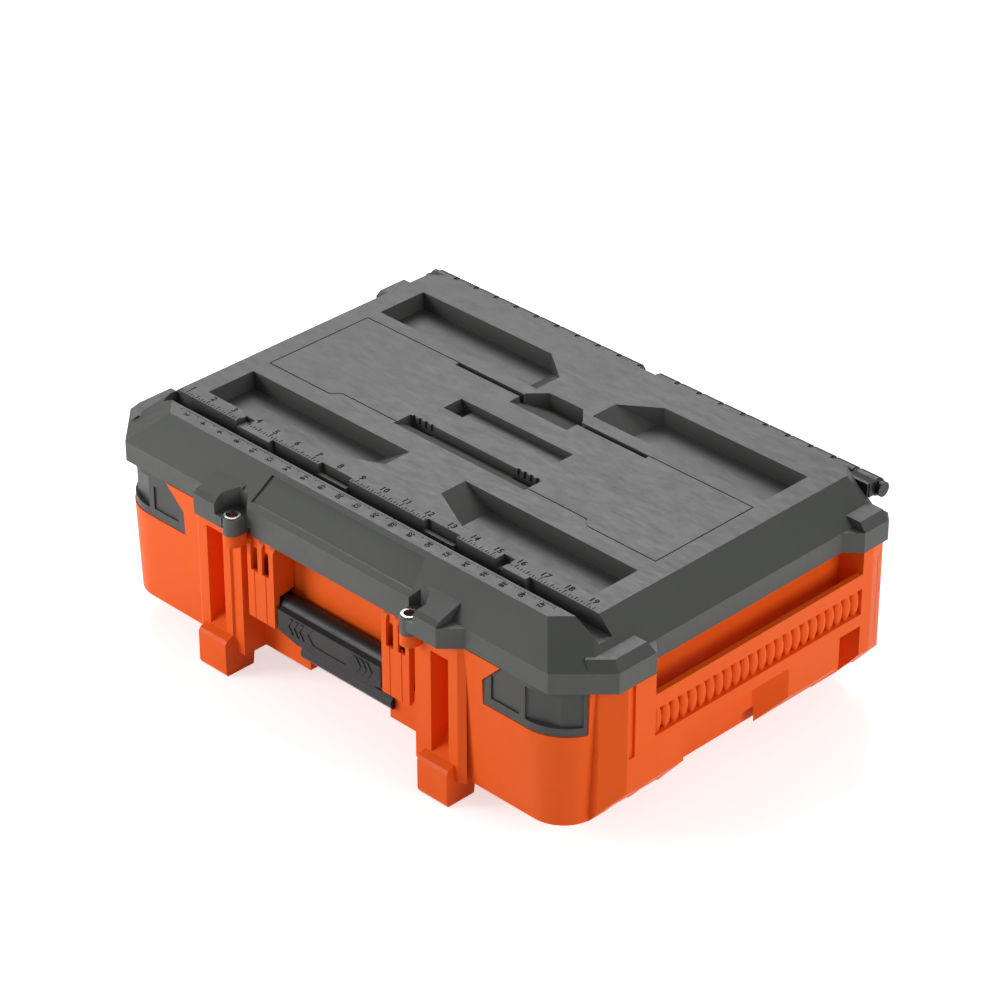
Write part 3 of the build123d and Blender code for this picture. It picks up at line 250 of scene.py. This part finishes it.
def mesh_object(name, mesh_builder, material, body):
    """A mesh made by mesh_builder, in millimetres, riding on a body."""
    mesh = bpy.data.meshes.new(name)
    shape = bmesh.new()
    mesh_builder(shape)
    bmesh.ops.scale(shape, vec=(MM, MM, MM), verts=shape.verts)
    bmesh.ops.recalc_face_normals(shape, faces=shape.faces)
    shape.to_mesh(mesh)
    shape.free()
    obj = bpy.data.objects.new(name, mesh)
    bpy.context.scene.collection.objects.link(obj)
    mesh.materials.append(material)
    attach(obj, body)
    return obj


def add_bar(shape, x0, x1, y0, y1, z0, z1):
    """A bar whose top is a little smaller than its foot."""
    draft = min(x1 - x0, y1 - y0) * 0.12
    foot = [(x0, y0), (x1, y0), (x1, y1), (x0, y1)]
    top = [
        (x0 + draft, y0 + draft),
        (x1 - draft, y0 + draft),
        (x1 - draft, y1 - draft),
        (x0 + draft, y1 - draft),
    ]
    low = [shape.verts.new((x, y, z0)) for x, y in foot]
    high = [shape.verts.new((x, y, z1)) for x, y in top]
    shape.faces.new(low[::-1])
    shape.faces.new(high)
    for i in range(4):
        shape.faces.new([low[i], low[(i + 1) % 4], high[(i + 1) % 4], high[i]])


def inch_ticks(shape):
    """Ticks every eighth of an inch, longer at halves and inches."""
    for index in range(-2, (INCH_COUNT - 1) * EIGHTHS + 3):
        x = FIRST_INCH_X + index * INCH / EIGHTHS
        if index % EIGHTHS == 0:
            length = INCH_TICK
        elif index % (EIGHTHS // 2) == 0:
            length = HALF_TICK
        elif index % (EIGHTHS // 4) == 0:
            length = QUARTER_TICK
        else:
            length = EIGHTH_TICK
        half = TICK_WIDTH / 2
        end = INCH_EDGE_Y + length
        start = max([INCH_EDGE_Y] + [y for x0, x1, y in NICKS + POCKETS if x0 < x < x1])
        if end - start > TICK_WIDTH:
            add_bar(
                shape, x - half, x + half, start, end, DECK_Z - MARK_ROOT, DECK_Z + TICK_HEIGHT
            )


def cm_ticks(shape):
    """Fine ticks every two millimetres, longer at every ten."""
    small = CM_NUMERAL_STEP / 10
    for index in range(-5, (CM_NUMERAL_COUNT - 1) * 10 + 6):
        x = FIRST_CM_X + index * small
        length = CM_LONG_TICK if index % 5 == 0 else CM_SHORT_TICK
        half = TICK_WIDTH * CM_TICK_THINNING / 2
        add_bar(
            shape, x - half, x + half, CM_EDGE_Y - length, CM_EDGE_Y,
            DECK_Z - MARK_ROOT, DECK_Z + TICK_HEIGHT * 0.7,
        )


def numeral(name, text, x, y, size, turn):
    """A raised numeral lying on the deck, as a mesh."""
    curve = bpy.data.curves.new(name + "_curve", "FONT")
    curve.body = text
    curve.size = size * MM
    curve.align_x = "CENTER"
    curve.align_y = "CENTER"
    curve.extrude = TICK_HEIGHT * MM / 2
    curve.offset = 0.12 * MM
    curve.resolution_u = 3
    shaped = bpy.data.objects.new(name + "_text", curve)
    bpy.context.scene.collection.objects.link(shaped)
    bpy.context.view_layer.update()
    evaluated = shaped.evaluated_get(bpy.context.evaluated_depsgraph_get())
    mesh = bpy.data.meshes.new_from_object(evaluated)
    bpy.data.objects.remove(shaped)
    bpy.data.curves.remove(curve)
    obj = bpy.data.objects.new(name, mesh)
    bpy.context.scene.collection.objects.link(obj)
    obj.rotation_euler = (0, 0, turn)
    obj.location = (x * MM, y * MM, (DECK_Z + TICK_HEIGHT / 2) * MM)
    mesh.materials.clear()
    mesh.materials.append(mark_grey)
    return obj


def joined(name, parts, body):
    """Several mesh objects as one, with their placement applied."""
    bpy.context.view_layer.update()
    shape = bmesh.new()
    for part in parts:
        part.data.transform(part.matrix_world)
        shape.from_mesh(part.data)
    mesh = bpy.data.meshes.new(name)
    shape.to_mesh(mesh)
    shape.free()
    material = parts[0].data.materials[0]
    for part in parts:
        bpy.data.objects.remove(part)
    obj = bpy.data.objects.new(name, mesh)
    bpy.context.scene.collection.objects.link(obj)
    mesh.materials.append(material)
    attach(obj, body)
    return obj


mesh_object("rule_inch_ticks", inch_ticks, mark_grey, "lid")
mesh_object("rule_cm_ticks", cm_ticks, mark_grey, "lid")


def inch_numeral(number):
    """The numeral of one inch, moved clear of the nick where the nick is in its way."""
    x = FIRST_INCH_X - INCH_NUMERAL_LEFT + (number - 1) * INCH
    y = INCH_NUMERAL_Y
    if number == NICKED_INCH:
        x += NICKED_INCH_SHIFT
        y = NICKED_INCH_Y
    return numeral(f"inch_{number}", str(number), x, y, NUMERAL_SIZE, 0)


inch_numerals = [inch_numeral(n + 1) for n in range(INCH_COUNT)]
joined("rule_inch_numerals", inch_numerals, "lid")
cm_numerals = [
    numeral(
        f"cm_{2 * n + 2}", str(2 * n + 2), FIRST_CM_X + n * CM_NUMERAL_STEP, CM_NUMERAL_Y,
        CM_NUMERAL_SIZE, math.radians(-90),
    )
    for n in range(CM_NUMERAL_COUNT)
]
joined("rule_cm_numerals", cm_numerals, "lid")


# raised marks on the grip, beside its panel
GRIP_FRONT_Y = -180.5
CHEVRON_TOP = 83.0
CHEVRON_BOTTOM = 68.5
CHEVRON_WIDTH = 3.4
CHEVRON_LEAN = 5.0
CHEVRON_PROUD = 0.7
CHEVRON_ROOT = 0.2
CHEVRON_STARTS = (29.0, 35.5, 42.0)


def add_slab(shape, outline, y_back, y_front):
    """A flat slab from an outline in x and z."""
    back = [shape.verts.new((x, y_back, z)) for x, z in outline]
    front = [shape.verts.new((x, y_front, z)) for x, z in outline]
    shape.faces.new(back[::-1])
    shape.faces.new(front)
    count = len(outline)
    for i in range(count):
        j = (i + 1) % count
        shape.faces.new([back[i], back[j], front[j], front[i]])


def grip_chevrons(shape):
    """Three chevrons on each side, that point away from the panel."""
    middle = (CHEVRON_TOP + CHEVRON_BOTTOM) / 2
    for side in (-1, 1):
        for start in CHEVRON_STARTS:
            for end_z in (CHEVRON_TOP, CHEVRON_BOTTOM):
                outline = [
                    (side * (start + CHEVRON_LEAN), middle),
                    (side * (start + CHEVRON_LEAN + CHEVRON_WIDTH), middle),
                    (side * (start + CHEVRON_WIDTH), end_z),
                    (side * start, end_z),
                ]
                add_slab(
                    shape, outline, GRIP_FRONT_Y + CHEVRON_ROOT,
                    GRIP_FRONT_Y - CHEVRON_PROUD,
                )


mesh_object("grip_chevrons", grip_chevrons, rubber, "handle")


# floor, light and camera
FLOOR_SIZE = 12.0
FLOOR_GLOW = 0.62
AIM = Vector((0, 0, 0.08))


def plane(name, size, z, material):
    """A square floor."""
    mesh = bpy.data.meshes.new(name)
    half = size / 2
    corners = [(-half, -half, z), (half, -half, z), (half, half, z), (-half, half, z)]
    mesh.from_pydata(corners, [], [(0, 1, 2, 3)])
    obj = bpy.data.objects.new(name, mesh)
    bpy.context.scene.collection.objects.link(obj)
    mesh.materials.append(material)
    return obj


def white_floor():
    """A pale floor, white to the camera away from the shadow."""
    material, tree, shader = new_material("floor_white", (0.93, 0.93, 0.93), 0.9)
    shader.inputs["Specular IOR Level"].default_value = 0.0
    path = tree.nodes.new("ShaderNodeLightPath")
    seen = tree.nodes.new("ShaderNodeMath")
    seen.operation = "MAXIMUM"
    tree.links.new(path.outputs["Is Camera Ray"], seen.inputs[0])
    tree.links.new(path.outputs["Is Glossy Ray"], seen.inputs[1])
    amount = tree.nodes.new("ShaderNodeMath")
    amount.operation = "MULTIPLY"
    amount.inputs[1].default_value = FLOOR_GLOW
    tree.links.new(seen.outputs[0], amount.inputs[0])
    shader.inputs["Emission Color"].default_value = (1, 1, 1, 1)
    tree.links.new(amount.outputs[0], shader.inputs["Emission Strength"])
    return material


plane("floor", FLOOR_SIZE, 0.0, white_floor())

world = bpy.data.worlds.new("studio")
bpy.context.scene.world = world
world.use_nodes = True
sky = world.node_tree.nodes["Background"]
light_path = world.node_tree.nodes.new("ShaderNodeLightPath")
strength = world.node_tree.nodes.new("ShaderNodeMapRange")
strength.inputs["To Min"].default_value = 0.24
strength.inputs["To Max"].default_value = 1.0
rays = world.node_tree.nodes.new("ShaderNodeMath")
rays.operation = "MAXIMUM"
world.node_tree.links.new(light_path.outputs["Is Camera Ray"], rays.inputs[0])
world.node_tree.links.new(light_path.outputs["Is Transmission Ray"], rays.inputs[1])
world.node_tree.links.new(rays.outputs[0], strength.inputs["Value"])
world.node_tree.links.new(strength.outputs["Result"], sky.inputs["Strength"])
sky.inputs["Color"].default_value = (1.0, 1.0, 1.0, 1.0)


def area_light(name, place, size, power):
    """A soft lamp that faces the middle of the box."""
    lamp = bpy.data.lights.new(name, "AREA")
    lamp.shape = "RECTANGLE"
    lamp.size, lamp.size_y = size
    lamp.energy = power
    obj = bpy.data.objects.new(name, lamp)
    bpy.context.scene.collection.objects.link(obj)
    obj.location = place
    aim = AIM - Vector(place)
    obj.rotation_euler = aim.to_track_quat("-Z", "Y").to_euler()


area_light("key", (-1.5, 1.5, 2.2), (1.6, 1.6), 50.0)
area_light("fill_left", (-1.8, -2.2, 0.9), (1.4, 1.2), 50.0)
area_light("fill_right", (2.45, 0.4, 0.9), (1.4, 1.2), 27.0)

camera_data = bpy.data.cameras.new("camera")
camera_data.lens = 136.84
camera_data.sensor_width = 36.0
camera = bpy.data.objects.new("camera", camera_data)
bpy.context.scene.collection.objects.link(camera)
camera.location = (1.8817, -1.8694, 1.7459)
camera.rotation_euler = (math.radians(90 - 31.25), 0, math.radians(45))
bpy.context.scene.camera = camera
bpy.context.scene.view_settings.view_transform = "Standard"
